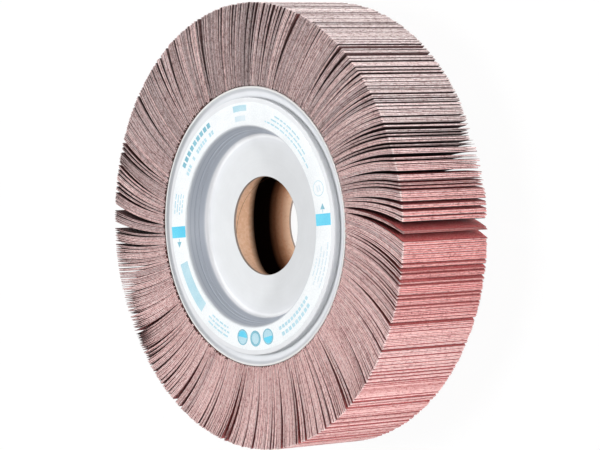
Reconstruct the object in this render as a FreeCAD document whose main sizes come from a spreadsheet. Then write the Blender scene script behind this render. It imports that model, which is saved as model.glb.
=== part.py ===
import FreeCAD, Part
import math
import os
import Sketcher

# Flap wheel lying on its rear flange. Z is the arbor axis, and z = 0 is the plane it rests on.
# Lengths are in millimetres and angles in degrees.

document = FreeCAD.newDocument("FlapWheel")

# Driving sizes
driving_sizes = {
    "wheel_diameter": 200.0,       # across the flap tips
    "wheel_width": 50.0,           # flap width along the axis
    "bore_diameter": 44.0,         # paper tube bore and flange hole
    "tube_wall": 2.5,              # wound paper wall
    "flange_diameter": 125.2,      # outside of the flange lip
    "flange_proud": 1.3,           # label face above the side of the flaps
    "flange_wall": 1.8,            # thinnest part of the moulded wall around the recess
    "rim_thickness": 1.8,          # moulded wall under the channel
    "recess_depth": 9.3,           # label face down to the clamping floor
    "wall_run": 4.2,               # how far the recess wall leans in on its way down to the floor
    "plateau_width": 12.5,         # raised ring, from the recess to the channel
    "shoulder_round": 1.9,         # outer shoulder of the raised ring
    "channel_width": 3.5,          # groove between raised ring and lip
    "channel_depth": 1.0,          # the same groove, below the lip
    "lip_width": 1.7,              # rim that holds the flaps
    "lip_drop": 0.4,               # lip below the side of the flaps
    "plate_thickness": 1.0,        # clamping floor, backed by the core and the tube's end
    "seat_clearance": 0.2,         # flange and tube to their seats
    "label_inset": 0.5,            # recess edge out to the paper ring
    "label_width": 9.9,
    "label_thickness": 0.15,
    "flap_count": 330,             # each is a pair of cloths pressed together
    "flap_fill": 0.84,             # share of the rim that the flaps fill between two openings
    "flap_unevenness": 0.75,       # how much the gaps between flaps differ, as a share
    "flap_root_gap": 0.3,          # lip seat out to where the flaps part
    "flap_bow": 0.5,               # how far the middle of a flap lags its straight line, in degrees
    "open_slit": 0.42,             # rim gap from which a slit between two flaps reaches the core
    "pressed_slit": 12.0,          # depth at the rim where pressed flaps part
}

sheet = document.addObject("Spreadsheet::Sheet", "Sizes")
for row, (alias, value) in enumerate(driving_sizes.items(), start=1):
    sheet.set(f"A{row}", alias.replace("_", " "))
    sheet.set(f"B{row}", str(value))
    sheet.setAlias(f"B{row}", alias)
document.recompute()

# Openings in the fan, going round from the right of the label face: where the opening starts
# at the core, where it ends at the rim, and its width at the rim in millimetres.
fan_openings = (
    (8.9, 3.9, 0.8),
    (16.4, 11.4, 1.2),
    (21.1, 15.7, 1.2),
    (28.2, 22.9, 1.1),
    (37.0, 31.4, 0.5),
    (44.0, 39.3, 0.5),
    (50.0, 46.3, 1.3),
    (52.7, 48.9, 1.2),
    (61.8, 57.9, 0.4),
    (73.2, 67.1, 1.8),
    (77.6, 72.6, 0.5),
    (81.0, 76.8, 1.0),
    (84.6, 80.7, 0.8),
    (87.2, 83.4, 1.2),
    (97.4, 93.2, 0.6),
    (103.8, 99.0, 0.5),
    (112.0, 107.3, 1.6),
    (122.8, 119.4, 0.6),
    (128.2, 122.9, 1.1),
    (132.0, 128.9, 0.7),
    (146.0, 140.7, 0.9),
    (159.6, 154.8, 1.5),
    (162.0, 157.5, 1.3),
    (167.5, 161.1, 1.0),
    (173.6, 168.6, 1.2),
    (177.5, 173.0, 2.6),
    (181.2, 177.8, 2.8),
    (185.7, 182.5, 1.0),
    (192.2, 189.3, 0.7),
    (211.4, 207.9, 1.4),
    (218.6, 213.8, 0.8),
    (230.0, 225.4, 0.7),
    (236.8, 231.8, 1.6),
    (239.6, 234.6, 0.9),
    (251.0, 245.4, 0.8),
    (260.6, 253.6, 1.8),
    (262.4, 255.4, 1.3),
    (270.6, 265.7, 0.9),
    (277.0, 272.9, 0.6),
    (281.6, 277.5, 1.0),
    (289.4, 284.8, 1.5),
    (291.6, 287.5, 0.9),
    (303.4, 300.6, 0.6),
    (309.6, 305.7, 1.3),
    (311.6, 308.4, 0.9),
    (322.6, 315.4, 0.6),
    (332.4, 325.7, 0.6),
    (340.2, 333.2, 1.1),
    (353.0, 344.6, 1.0),
    (356.6, 347.4, 1.1),
    (363.6, 355.4, 3.2),
    (365.6, 358.0, 3.0),
)


def bound(target, path, expression):
    """Tie one property or constraint to the sheet."""
    target.setExpression(path, expression)


def origin_plane(body, role):
    for feature in body.Origin.OriginFeatures:
        if feature.Role == role:
            return feature
    raise ValueError(role)


def value_of(expression):
    return float(sheet.evalExpression(expression))


def new_sketch(body, name, role):
    sketch = body.newObject("Sketcher::SketchObject", name)
    sketch.AttachmentSupport = (origin_plane(body, role), [""])
    sketch.MapMode = "FlatFace"
    return sketch


def outline_sketch(body, name, corners):
    """Closed outline on the XZ plane. Each corner is a radius and a height, written in sheet sizes."""
    sketch = new_sketch(body, name, "XZ_Plane")
    places = [FreeCAD.Vector(value_of(across), value_of(along), 0) for across, along in corners]
    for index, start in enumerate(places):
        sketch.addGeometry(Part.LineSegment(start, places[(index + 1) % len(places)]), False)
    for index in range(len(places)):
        following = (index + 1) % len(places)
        sketch.addConstraint(Sketcher.Constraint("Coincident", index, 2, following, 1))
    for index, (across, along) in enumerate(corners):
        for kind, expression, distance in (
            ("DistanceX", across, places[index].x),
            ("DistanceY", along, places[index].y),
        ):
            number = sketch.addConstraint(Sketcher.Constraint(kind, -1, 1, index, 1, distance))
            bound(sketch, f"Constraints[{number}]", expression)
    return sketch


def revolved(body, sketch):
    feature = body.newObject("PartDesign::Revolution", sketch.Name + "Turn")
    feature.Profile = sketch
    feature.ReferenceAxis = (sketch, ["V_Axis"])
    feature.Angle = 360
    body.Tip = feature
    document.recompute()
    return feature


# Heights and radii that several pieces share, from the side plane of the flaps at height 0
floor_level = "(Sizes.flange_proud - Sizes.recess_depth)"
plate_level = f"({floor_level} - Sizes.plate_thickness)"
channel_level = "(-Sizes.lip_drop - Sizes.channel_depth)"
rim_level = f"({channel_level} - Sizes.rim_thickness)"
bore_radius = "(Sizes.bore_diameter / 2)"
tube_radius = "(Sizes.bore_diameter / 2 + Sizes.tube_wall)"
socket_radius = f"({tube_radius} + Sizes.seat_clearance)"
flange_radius = "(Sizes.flange_diameter / 2)"
lip_inner = f"({flange_radius} - Sizes.lip_width)"
plateau_radius = f"({lip_inner} - Sizes.channel_width)"
mouth_radius = f"({plateau_radius} - Sizes.plateau_width)"
floor_radius = f"({mouth_radius} - Sizes.wall_run)"
label_radius = f"({mouth_radius} + Sizes.label_inset)"
back_radius = f"({mouth_radius} + Sizes.flange_wall)"


def build_flange(name):
    """Moulded flange: clamping floor, sloping recess wall, raised ring, channel and lip."""
    body = document.addObject("PartDesign::Body", name)
    eighth_turn = "(1 - sqrt(0.5)) * Sizes.shoulder_round"
    corners = (
        (bore_radius, plate_level),
        (bore_radius, floor_level),
        (floor_radius, floor_level),
        (mouth_radius, "Sizes.flange_proud"),
        (f"{plateau_radius} - Sizes.shoulder_round", "Sizes.flange_proud"),
        (f"{plateau_radius} - {eighth_turn}", f"Sizes.flange_proud - {eighth_turn}"),
        (plateau_radius, channel_level),
        (lip_inner, channel_level),
        (lip_inner, "-Sizes.lip_drop"),
        (flange_radius, "-Sizes.lip_drop"),
        (flange_radius, rim_level),
        (back_radius, rim_level),
        (back_radius, plate_level),
    )
    revolved(body, outline_sketch(body, name + "Outline", corners))
    return body


def ring_pad(name, inner, outer, height, level):
    """Flat-ended ring between two radii, standing at a level."""
    body = document.addObject("PartDesign::Body", name)
    sketch = new_sketch(body, name + "Rings", "XY_Plane")
    for radius in (inner, outer):
        circle = Part.Circle(FreeCAD.Vector(0, 0, 0), FreeCAD.Vector(0, 0, 1), value_of(radius))
        number = sketch.addGeometry(circle, False)
        sketch.addConstraint(Sketcher.Constraint("Coincident", number, 3, -1, 1))
        size = sketch.addConstraint(Sketcher.Constraint("Radius", number, value_of(radius)))
        bound(sketch, f"Constraints[{size}]", radius)
    pad = body.newObject("PartDesign::Pad", name + "Pad")
    pad.Profile = sketch
    bound(pad, "Length", height)
    body.Tip = pad
    bound(body, "Placement.Base.z", level)
    return body


def polar(radius, degrees):
    """Point on the label face, with 0 degrees to the right and 90 at the top of that face."""
    turn = math.radians(degrees)
    return FreeCAD.Vector(radius * math.sin(turn), -radius * math.cos(turn), 0)


def flap_places():
    """Root angle, rim angle and half rim width of each flap, in bunches between the openings."""
    pitch = 360.0 / round(value_of("Sizes.flap_count"))
    rim_radius = value_of("Sizes.wheel_diameter") / 2
    slack = 1 - value_of("Sizes.flap_fill")
    unevenness = value_of("Sizes.flap_unevenness")
    flaps = []
    for index, (root, rim, opening) in enumerate(fan_openings):
        lap = 360.0 if index + 1 == len(fan_openings) else 0.0
        next_root, next_rim, next_opening = fan_openings[(index + 1) % len(fan_openings)]
        count = max(1, round((next_root + lap - root) / pitch))
        start = rim + math.degrees(opening / 2 / rim_radius)
        room = (next_rim + lap - math.degrees(next_opening / 2 / rim_radius) - start) / count
        for step in range(count):
            trim = slack * room / 2
            low = start + room * step + trim * (1 + unevenness * math.sin(2.4 * len(flaps)))
            high = start + room * (step + 1) - trim * (1 - unevenness * math.sin(3.1 * len(flaps)))
            middle = root + (next_root + lap - root) * (step + 0.5) / count
            flaps.append((middle, (low + high) / 2, (high - low) / 2))
    return flaps


def fan_outline():
    """Rim of the fan: flaps bow from the core to square tips, and pressed ones part near the rim."""
    root_radius = value_of(f"{flange_radius} + Sizes.seat_clearance + Sizes.flap_root_gap")
    rim_radius = value_of("Sizes.wheel_diameter") / 2
    middle_radius = (root_radius + rim_radius) / 2
    notch_radius = rim_radius - value_of("Sizes.pressed_slit")
    notch_share = (notch_radius - root_radius) / (rim_radius - root_radius)
    bow = value_of("Sizes.flap_bow")
    open_slit = math.degrees(value_of("Sizes.open_slit") / rim_radius)
    flaps = flap_places()

    def slit_middle(before, after, share):
        straight = [flap[0] + (flap[1] - flap[0]) * share for flap in (before, after)]
        return sum(straight) / 2 + 4 * bow * share * (1 - share)

    points = []
    for index, after in enumerate(flaps):
        lap = 360.0 if index == 0 else 0.0
        root, rim, half_rim = flaps[index - 1]
        before = (root - lap, rim - lap, half_rim)
        gap = after[1] - after[2] - before[1] - before[2]
        points.append(polar(rim_radius, before[1] + before[2]))
        if gap > open_slit:
            middle = slit_middle(before, after, 0.5)
            points.append(polar(middle_radius, middle - 0.3 * gap))
            points.append(polar(root_radius, (before[0] + after[0]) / 2))
            points.append(polar(middle_radius, middle + 0.3 * gap))
        else:
            points.append(polar(notch_radius, slit_middle(before, after, notch_share)))
        points.append(polar(rim_radius, after[1] - after[2]))
    return points


def build_fan():
    """All flaps with the cast core that holds them, one solid over the full width."""
    points = fan_outline()
    outside = Part.makePolygon(points + [points[0]])
    fan = document.addObject("Part::Feature", "FlapFan")
    fan.Shape = Part.Face(outside).extrude(FreeCAD.Vector(0, 0, value_of("Sizes.wheel_width")))
    fan.Placement = FreeCAD.Placement(
        FreeCAD.Vector(0, 0, value_of("Sizes.flange_proud")), FreeCAD.Rotation()
    )
    return fan


def build_seat_space():
    """Room for the tube and both flanges inside the core, mirrored about the middle of the width."""
    body = document.addObject("PartDesign::Body", "SeatSpace")
    gap = "Sizes.seat_clearance"
    front = (
        ("0", "Sizes.flange_proud"),
        (f"{flange_radius} + {gap}", "Sizes.flange_proud"),
        (f"{flange_radius} + {gap}", rim_level),
        (f"{back_radius} + {gap}", rim_level),
        (f"{back_radius} + {gap}", plate_level),
        (socket_radius, plate_level),
    )
    rear = tuple((across, f"-Sizes.wheel_width - ({along})") for across, along in reversed(front))
    revolved(body, outline_sketch(body, "SeatOutline", front + rear))
    bound(body, "Placement.Base.z", "Sizes.wheel_width + Sizes.flange_proud")
    return body


front_flange = build_flange("front_flange")
bound(front_flange, "Placement.Base.z", "Sizes.wheel_width + Sizes.flange_proud")

rear_flange = build_flange("rear_flange")
rear_flange.Placement = FreeCAD.Placement(
    FreeCAD.Vector(0, 0, 0), FreeCAD.Rotation(FreeCAD.Vector(1, 0, 0), 180)
)
bound(rear_flange, "Placement.Base.z", "Sizes.flange_proud")

core_tube = ring_pad(
    "core_tube", bore_radius, tube_radius,
    f"Sizes.wheel_width + 2 * {plate_level}", f"Sizes.flange_proud - {plate_level}",
)
label_ring = ring_pad(
    "label_ring", label_radius, f"{label_radius} + Sizes.label_width",
    "Sizes.label_thickness", "Sizes.wheel_width + 2 * Sizes.flange_proud",
)

flap_ring = document.addObject("Part::Cut", "flap_ring")
flap_ring.Base = build_fan()
flap_ring.Tool = build_seat_space()
document.recompute()

pieces = {
    "flap_ring": flap_ring,
    "core_tube": core_tube,
    "front_flange": front_flange,
    "rear_flange": rear_flange,
    "label_ring": label_ring,
}
for label, piece in pieces.items():
    piece.Label = label
document.recompute()

for item in document.Objects:
    if "Invalid" in item.State or "Error" in item.State:
        raise RuntimeError(f"{item.Name} did not rebuild: {item.State}")
for label, piece in pieces.items():
    if piece.Shape.isNull() or not piece.Shape.isValid():
        raise RuntimeError(f"{label} has no valid shape")

os.makedirs("parts", exist_ok=True)
for label, piece in pieces.items():
    piece.Shape.exportStep(f"parts/{label}.step")
    box = piece.Shape.BoundBox
    print(
        f"{label}: {len(piece.Shape.Solids)} solid, {piece.Shape.Volume / 1000:.1f} cubic cm,",
        f"z {box.ZMin:.2f} to {box.ZMax:.2f}, across {box.XLength:.2f}",
    )
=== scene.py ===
import bpy
import bmesh
import math
import random
from collections import namedtuple
from mathutils import Matrix, Vector, noise


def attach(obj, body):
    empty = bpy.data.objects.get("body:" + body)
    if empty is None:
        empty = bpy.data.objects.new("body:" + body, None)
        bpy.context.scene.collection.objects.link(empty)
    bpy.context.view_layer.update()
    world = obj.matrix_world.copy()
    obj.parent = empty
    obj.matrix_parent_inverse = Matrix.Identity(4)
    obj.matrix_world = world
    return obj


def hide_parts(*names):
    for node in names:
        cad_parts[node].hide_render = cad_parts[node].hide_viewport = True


# Flap wheel lying on its rear flange, label up. Lengths below are in millimetres, angles in degrees.
# Angles go round the label face from the right of the picture, with 90 at its top.
# Colours are given as the eye reads them, 0 to 255.

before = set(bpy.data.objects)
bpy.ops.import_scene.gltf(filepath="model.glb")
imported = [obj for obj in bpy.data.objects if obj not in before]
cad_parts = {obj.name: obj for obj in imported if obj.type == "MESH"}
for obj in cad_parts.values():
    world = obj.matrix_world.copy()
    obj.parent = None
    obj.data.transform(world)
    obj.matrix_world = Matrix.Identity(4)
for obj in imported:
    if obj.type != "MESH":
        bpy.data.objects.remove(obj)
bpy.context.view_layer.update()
mm = 0.001
rng = random.Random(7)


def facePoint(radius, degrees, height):
    turn = math.radians(degrees)
    return Vector((radius * math.sin(turn), -radius * math.cos(turn), height)) * mm


def tone(*colour):
    # the light values that shaders take
    values = [c / 255 for c in colour]
    return tuple(v / 12.92 if v <= 0.04045 else ((v + 0.055) / 1.055) ** 2.4 for v in values) + (1.0,)


# Shader helpers

def link(tree, source, target):
    tree.links.new(source, target)


def feed(tree, value, socket):
    # a number or a colour is set on the socket, and an output is linked to it
    if isinstance(value, (int, float)):
        socket.default_value = value
    elif isinstance(value, tuple):
        socket.default_value = tone(*value)
    else:
        link(tree, value, socket)


def addNode(tree, kind, values=(), **settings):
    # settings belong to the node itself, values to its sockets
    node = tree.nodes.new(kind)
    for name, value in settings.items():
        setattr(node, name, value)
    for name, value in dict(values).items():
        feed(tree, value, node.inputs[name])
    return node


def mathNode(tree, operation, *values):
    node = addNode(tree, "ShaderNodeMath", operation=operation)
    for value, socket in zip(values, node.inputs):
        feed(tree, value, socket)
    return node.outputs[0]


def rampNode(tree, source, stops):
    node = addNode(tree, "ShaderNodeValToRGB")
    elements = node.color_ramp.elements
    while len(elements) < len(stops):
        elements.new(0.5)
    for element, (place, colour) in zip(elements, stops):
        element.position = place
        element.color = tone(*colour)
    link(tree, source, node.inputs[0])
    return node.outputs[0]


def mixColours(tree, factor, first, second, blendType="MIX"):
    node = addNode(tree, "ShaderNodeMix", data_type="RGBA", blend_type=blendType)
    for index, value in ((0, factor), (6, first), (7, second)):
        feed(tree, value, node.inputs[index])
    return node.outputs[2]


def spread(tree, source, low, high, newLow=0.0, newHigh=1.0):
    node = addNode(tree, "ShaderNodeMapRange")
    for value, socket in zip((source, low, high, newLow, newHigh), node.inputs):
        feed(tree, value, socket)
    return node.outputs[0]


def lengthRamp(tree, source, low, high, stops):
    # a ramp over a range of lengths in millimetres, with its stops in millimetres too
    shares = [((length - low) / (high - low), colour) for length, colour in stops]
    return rampNode(tree, spread(tree, source, low * mm, high * mm), shares)


def splitVector(tree, source):
    return addNode(tree, "ShaderNodeSeparateXYZ", {"Vector": source}).outputs


def joinVector(tree, first, second):
    return addNode(tree, "ShaderNodeCombineXYZ", {"X": first, "Y": second}).outputs[0]


def fromAxis(tree, parts):
    # how far a place is from the wheel's axis
    flat = joinVector(tree, parts[0], parts[1])
    return addNode(tree, "ShaderNodeVectorMath", {"Vector": flat}, operation="LENGTH").outputs["Value"]


def noiseNode(tree, **values):
    return addNode(tree, "ShaderNodeTexNoise", values).outputs[0]


def ringNoise(tree, radius, scale):
    # uneven rings round the axis
    values = {"W": radius, "Scale": scale, "Detail": 2}
    return addNode(tree, "ShaderNodeTexNoise", values, noise_dimensions="1D").outputs[0]


def attributeValue(tree, name):
    return addNode(tree, "ShaderNodeAttribute", attribute_name=name).outputs["Fac"]


def newGroup(name, inputs, outputs):
    # inputs have their plain values, or the words Vector or Color; outputs are numbers or a Colour
    tree = bpy.data.node_groups.new(name, "ShaderNodeTree")
    for socketName, value in inputs.items():
        kind = "NodeSocket" + (value if isinstance(value, str) else "Float")
        socket = tree.interface.new_socket(name=socketName, in_out="INPUT", socket_type=kind)
        if kind == "NodeSocketFloat":
            socket.default_value = value
    for socketName in outputs:
        kind = "NodeSocketColor" if socketName == "Colour" else "NodeSocketFloat"
        tree.interface.new_socket(name=socketName, in_out="OUTPUT", socket_type=kind)
    return tree, addNode(tree, "NodeGroupInput").outputs, addNode(tree, "NodeGroupOutput").inputs


def placeGroup(tree, group, **values):
    return addNode(tree, "ShaderNodeGroup", values, node_tree=group).outputs


def newMaterial(name, roughness, specular=0.5):
    material = bpy.data.materials.new(name)
    material.use_nodes = True
    shader = material.node_tree.nodes["Principled BSDF"]
    shader.inputs["Roughness"].default_value = roughness
    shader.inputs["Specular IOR Level"].default_value = specular
    return material, material.node_tree, shader


def paint(tree, shader, colour, roughness):
    link(tree, colour, shader.inputs["Base Color"])
    link(tree, roughness, shader.inputs["Roughness"])


def addBump(tree, shader, height, strength, distance):
    values = {"Strength": strength, "Distance": distance * mm, "Height": height}
    link(tree, addNode(tree, "ShaderNodeBump", values).outputs[0], shader.inputs["Normal"])


# Flap fan

fan = {
    "rimRadius": 100.0,
    "rootRadius": 62.75,
    "rearSide": 1.4,
    "labelSide": 51.2,
    "pairCount": 330,  # each pair is two cloths pressed together
    "fill": 0.93,  # share of the rim that the pairs fill between two openings
    "unevenness": 0.75,  # how much the gaps between pairs differ
    "gapWaves": (2.4, 3.1),  # steps of the two waves by which they differ
    "bow": 0.5,  # how far the middle of a flap lags its straight line
    "openSlit": 0.42,  # rim gap from which a slit between two pairs reaches the core
    "openCurve": 0.74,  # how such a slit narrows towards the core
    "pressedSlit": 12.0,  # depth at the rim where pressed flaps part
    "hairline": 0.07,  # least gap between the two cloths of a pair
    "slitGap": (0.1, 0.33),  # least and most that neighbouring pairs stand apart
    "rootGap": 0.25,  # share of that gap at the core
    "mostGap": 0.5,  # most of a cloth's thickness that a slit takes
    "parting": (0.44, 0.56),  # where the two cloths of a pair meet, as a share of its thickness
    "tipTrim": 0.5,  # how much flap lengths differ
    "sideTrim": 0.18,  # how much flap widths differ
    "rootCut": 1.1,  # how deep the corners next to the flanges are cut
    "fraySpread": 0.9,  # how far frayed tips stand apart
    "frayFrom": 0.7,  # share of a flap's length from which they are frayed and torn
    "frayTrim": 1.6,  # how much shorter frayed tips are
    "tornCorner": 8.0,  # how far frayed tips are torn back at their rear corner
    "sway": 0.16,  # how far slits wander along the width
    "swaySteps": (0.31, 1.1),  # how soon that changes from slit to slit and along the width
    "ridge": 0.2,  # how far the middle of a cut edge stands out from its sides
    "coreSegments": 180,
    "redLightAt": 9.0,  # where the painted red light on the rim is strongest
    "redLightFrom": 0.855,  # cosine of the angle from there at which the painted red light begins
    "redLightBelow": (-0.4, -0.1, 0.42),  # sines where a weaker painted red light below is full and gone, and its strength
    "darkDepth": 9.0,  # how deep in the fan the painted shade on the sides of the flaps is full
    "darkCurve": 2.2,
    "paleCornerRim": (0.4, 0.9),  # how far from rim and label side their common corner is paler
    "paleCornerLabel": (0.3, 0.8),
    "toneMiddle": 0.62,  # middle of the flaps' own tones, from 0 for greyer to 1 for pinker
    "toneBunch": (0.3, 0.21),  # how much bunches differ, and how soon that changes
    "toneOwn": 0.42,  # how much single flaps differ
    "shadeLean": 0.29,  # painted shade: how much greyer and darker the flaps are painted at the top than at the bottom
    "darkSlit": (0.25, 0.7, 2.4),  # widths of a closed, an open and a wide slit, for the painted shade beside slits
    "closedShade": 0.7,  # how strong the painted shade beside a closed slit is
    "shadowedCut": 0.35,  # corners cut deeper than this get the dark resin finish as painted shadow, on one stretch of the wheel
    "shadowStretch": (112, 250),
    "stripStep": 0.37,  # how far each flap's weave is moved on from the last one's, in centimetres
    "edgeWidth": 0.08,  # width of a cut edge in its weave, in centimetres
}

# Effects that several finishes share

def makeGrainGroup():
    # uneven grain at one scale, with a broader cloud that shifts it
    tree, inputs, outputs = newGroup(
        "unevenGrain", {"Vector": "Vector", "Scale": 400.0, "Cloud": 0.3}, ("Grain", "Cloud"))
    place, scale = inputs["Vector"], inputs["Scale"]
    fine = noiseNode(tree, Vector=place, Scale=scale, Detail=3, Roughness=0.6)
    broad = noiseNode(tree, Vector=place, Scale=mathNode(tree, "MULTIPLY", scale, 0.06), Detail=2)
    cloud = spread(tree, broad, 0.32, 0.68)
    grain = spread(tree, fine, 0.28, 0.72)
    shift = mathNode(tree, "MULTIPLY", mathNode(tree, "SUBTRACT", cloud, 0.5), inputs["Cloud"])
    link(tree, mathNode(tree, "ADD", grain, shift), outputs["Grain"])
    link(tree, cloud, outputs["Cloud"])
    return tree


def makeThreadGroup():
    # broken threads that run along U, with U and V in centimetres
    tree, inputs, outputs = newGroup(
        "cutThreads", {"UV": "Vector", "Length": 8.0, "Width": 60.0}, ("Threads", "Knots"))
    parts = splitVector(tree, inputs["UV"])
    along = mathNode(tree, "MULTIPLY", parts[0], inputs["Length"])
    joined = joinVector(tree, along, mathNode(tree, "MULTIPLY", parts[1], inputs["Width"]))
    threads = noiseNode(tree, Vector=joined, Scale=1, Detail=3)
    knots = addNode(tree, "ShaderNodeTexVoronoi", {"Vector": joined, "Scale": 2.2}).outputs["Distance"]
    link(tree, spread(tree, threads, 0.3, 0.7), outputs["Threads"])
    link(tree, spread(tree, knots, 0.15, 0.6, 1.0, 0.0), outputs["Knots"])
    return tree


def makeFlapToneGroup():
    # tints a cloth colour by the flap's tone, from greyer to pinker: its own tone, with painted shade
    # greying the flaps towards the top
    tree, inputs, outputs = newGroup("flapTone", {"Colour": "Color", "Amount": 1.0}, ("Colour",))
    tint = rampNode(tree, attributeValue(tree, "flapTone"), [
        (0.0, (190, 191, 192)), (0.3, (217, 218, 219)), (0.5, (234, 232, 232)),
        (0.8, (253, 247, 246)), (1.0, (255, 255, 255)),
    ])
    mixed = mixColours(tree, inputs["Amount"], inputs["Colour"], tint, "MULTIPLY")
    link(tree, mixed, outputs["Colour"])
    return tree


def makeSlitShadeGroup():
    # how open a place on a flap's side is, for painted shade: 1 at its cut edges, less the deeper it lies in
    # the fan;
    # where the corner between label side and rim is, where the rim is, and where painted red light falls on
    # the rim
    tree, inputs, outputs = newGroup(
        "slitShade", {"Vector": "Vector"}, ("Open", "Corner", "Rim", "Red"))
    parts = splitVector(tree, inputs["Vector"])
    radius = fromAxis(tree, parts)
    fromRim = mathNode(tree, "SUBTRACT", fan["rimRadius"] * mm, radius)
    fromLabel = mathNode(tree, "SUBTRACT", fan["labelSide"] * mm, parts[2])
    fromRear = mathNode(tree, "SUBTRACT", parts[2], fan["rearSide"] * mm)
    nearest = mathNode(tree, "MINIMUM", fromRim, mathNode(tree, "MINIMUM", fromLabel, fromRear))
    nearEdge = spread(tree, nearest, 0.0, fan["darkDepth"] * mm, 1.0, 0.0)
    link(tree, mathNode(tree, "POWER", nearEdge, fan["darkCurve"]), outputs["Open"])
    paleCorner = [
        spread(tree, distance, low * mm, high * mm, 1.0, 0.0)
        for distance, (low, high) in ((fromRim, fan["paleCornerRim"]), (fromLabel, fan["paleCornerLabel"]))
    ]
    link(tree, mathNode(tree, "MULTIPLY", *paleCorner), outputs["Corner"])
    rim = spread(tree, mathNode(tree, "SUBTRACT", fromLabel, fromRim), 0.0, mm)
    link(tree, rim, outputs["Rim"])
    # painted light: the rim is tinted red where it faces the right of the label face, and a little below
    redTurn = math.radians(fan["redLightAt"])
    across = mathNode(tree, "MULTIPLY", parts[0], -math.sin(redTurn))
    along = mathNode(tree, "MULTIPLY_ADD", parts[1], -math.cos(redTurn), across)
    towards = spread(tree, mathNode(tree, "DIVIDE", along, radius), fan["redLightFrom"], 1.0)
    full, gone, strength = fan["redLightBelow"]
    below = spread(tree, mathNode(tree, "DIVIDE", parts[0], radius), full, gone, strength, 0.0)
    link(tree, mathNode(tree, "MAXIMUM", towards, below), outputs["Red"])
    return tree


grainGroup = makeGrainGroup()
threadGroup = makeThreadGroup()
flapToneGroup = makeFlapToneGroup()
slitShadeGroup = makeSlitShadeGroup()
print("shared shader groups made")


# Finishes

def objectVector(tree):
    return addNode(tree, "ShaderNodeTexCoord").outputs["Object"]


def grainAt(tree, place, scale, cloud):
    return placeGroup(tree, grainGroup, Vector=place, Scale=scale, Cloud=cloud)


def threadsAlong(tree, length, width):
    run = addNode(tree, "ShaderNodeUVMap", uv_map="clothRun").outputs[0]
    return placeGroup(tree, threadGroup, UV=run, Length=length, Width=width)


def grainedFinish(name, roughness, scale, cloud, stops, roughRange, bump):
    # one colour broken by its grain
    material, tree, shader = newMaterial(name, roughness)
    grain = grainAt(tree, objectVector(tree), scale, cloud)
    colour = rampNode(tree, grain["Grain"], stops)
    paint(tree, shader, colour, spread(tree, grain["Cloud"], 0.0, 1.0, *roughRange))
    addBump(tree, shader, grain["Grain"], *bump)
    return material


def makeCutEdge(name, stops, rimLightTints, slitShadeTone):
    # sawn edge of the cloth: pale broken threads, with grit and darker resin between them
    material, tree, shader = newMaterial(name, 0.82, 0.25)
    threads = threadsAlong(tree, 3.5, 18.0)
    place = objectVector(tree)
    grit = grainAt(tree, place, 1200.0, 0.15)
    weave = mathNode(tree, "MULTIPLY", threads["Threads"], 0.5)
    height = mathNode(tree, "MULTIPLY_ADD", grit["Grain"], 0.5, weave)
    masks = placeGroup(tree, slitShadeGroup, Vector=place)
    amount = mathNode(tree, "MULTIPLY_ADD", masks["Rim"], -0.5, 0.9)
    toned = placeGroup(tree, flapToneGroup, Colour=rampNode(tree, height, stops), Amount=amount)
    # painted light: the rim is tinted red on one side and a cooler grey elsewhere
    rimLightTones = rampNode(tree, masks["Red"], list(zip((0.0, 0.35, 1.0), rimLightTints)))
    tinted = mixColours(tree, masks["Rim"], toned[0], rimLightTones, "MULTIPLY")
    paleCorner = mathNode(tree, "MULTIPLY", masks["Corner"], 0.35)
    lightened = mixColours(tree, paleCorner, tinted, (255, 240, 238))
    # painted shade: each edge darkens towards an open slit, and in the label side a little towards a closed
    # one too
    slit = mathNode(tree, "MULTIPLY_ADD", masks["Rim"], 0.1, attributeValue(tree, "edgeOpen"))
    redRim = mathNode(tree, "MULTIPLY", masks["Rim"], masks["Red"])
    slitShadeTones = mixColours(tree, redRim, (42, 16, 19), slitShadeTone)
    colour = mixColours(tree, spread(tree, slit, 0.08, 0.8), slitShadeTones, lightened)
    paint(tree, shader, colour, spread(tree, threads["Knots"], 0.0, 1.0, 0.7, 0.92))
    addBump(tree, shader, height, 0.7, 0.2)
    return material


def slitOpenness(tree, place, faceLoss, rimLoss):
    # painted shade: the sides of narrow slits are darker than those of wide ones, by a loss for label side
    # and rim; all sides darken the deeper they lie in the fan
    masks = placeGroup(tree, slitShadeGroup, Vector=place)
    loss = spread(tree, masks["Rim"], 0.0, 1.0, faceLoss, rimLoss)
    narrow = spread(tree, attributeValue(tree, "edgeOpen"), -1.0, 0.0)
    kept = mathNode(tree, "SUBTRACT", 1.0, mathNode(tree, "MULTIPLY", narrow, loss))
    return mathNode(tree, "MULTIPLY", masks["Open"], kept), masks["Rim"]


def makeGritFace():
    # abrasive side: close red grains in red resin
    material, tree, shader = newMaterial("gritFace", 0.6, 0.4)
    place = objectVector(tree)
    grit = grainAt(tree, place, 2600.0, 0.1)
    grains = rampNode(tree, grit["Grain"], [
        (0.1, (196, 72, 74)), (0.4, (240, 108, 108)), (0.65, (255, 144, 142)), (0.95, (255, 206, 202)),
    ])
    toned = placeGroup(tree, flapToneGroup, Colour=grains, Amount=0.25)
    # painted shade: the sides darken deeper in the fan and in narrow slits, redder at the rim
    openness, rim = slitOpenness(tree, place, 0.85, 0.65)
    paintedShadeTones = mixColours(tree, rim, (54, 15, 18), (84, 18, 21))
    colour = mixColours(tree, mathNode(tree, "POWER", openness, 0.7), paintedShadeTones, toned[0])
    paint(tree, shader, colour, spread(tree, grit["Grain"], 0.2, 0.9, 0.72, 0.42))
    addBump(tree, shader, grit["Grain"], 0.9, 0.25)
    return material


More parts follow.
